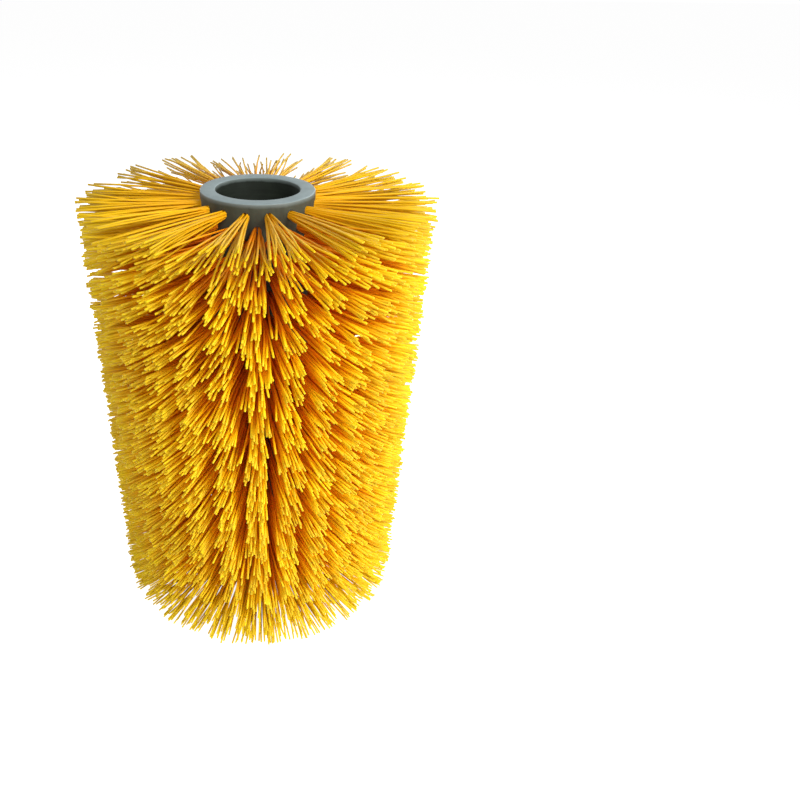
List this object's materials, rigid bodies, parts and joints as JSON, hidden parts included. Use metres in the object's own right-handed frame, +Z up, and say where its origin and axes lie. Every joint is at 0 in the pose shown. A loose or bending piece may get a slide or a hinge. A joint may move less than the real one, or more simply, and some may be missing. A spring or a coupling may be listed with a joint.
{
  "type": "brush roller",
  "caption": "Cylindrical roller brush for a rotating livestock groomer: stiff bristle tufts set in staggered holes round a thick-walled plastic core tube open at both ends.",
  "frame": {"origin": "centre of the lower end face of the core tube, which the roller stands on", "axes": "+Z up the tube's axis, the roller's axis of rotation; +X through the middle of tuft column 1"},
  "size_m": [0.48, 0.48, 0.66],
  "materials": {
    "tube_plastic": "satin",
    "bristle_plastic": "satin"
  },
  "bodies": {
    "root": {"core_tube": "tube_plastic", "tuft_column_01": "bristle_plastic", "tuft_column_02": "bristle_plastic", "tuft_column_03": "bristle_plastic", "tuft_column_04": "bristle_plastic", "tuft_column_05": "bristle_plastic", "tuft_column_06": "bristle_plastic", "tuft_column_07": "bristle_plastic", "tuft_column_08": "bristle_plastic", "tuft_column_09": "bristle_plastic", "tuft_column_10": "bristle_plastic", "tuft_column_11": "bristle_plastic", "tuft_column_12": "bristle_plastic", "tuft_column_13": "bristle_plastic", "tuft_column_14": "bristle_plastic", "tuft_column_15": "bristle_plastic", "tuft_column_16": "bristle_plastic", "tuft_column_17": "bristle_plastic", "tuft_column_18": "bristle_plastic", "tuft_column_19": "bristle_plastic", "tuft_column_20": "bristle_plastic", "tuft_column_21": "bristle_plastic", "tuft_column_22": "bristle_plastic", "tuft_column_23": "bristle_plastic", "tuft_column_24": "bristle_plastic", "tuft_column_25": "bristle_plastic", "tuft_column_26": "bristle_plastic", "tuft_column_27": "bristle_plastic", "tuft_column_28": "bristle_plastic", "tuft_column_29": "bristle_plastic", "tuft_column_30": "bristle_plastic", "tuft_column_31": "bristle_plastic", "tuft_column_32": "bristle_plastic"}
  },
  "joints": []
}
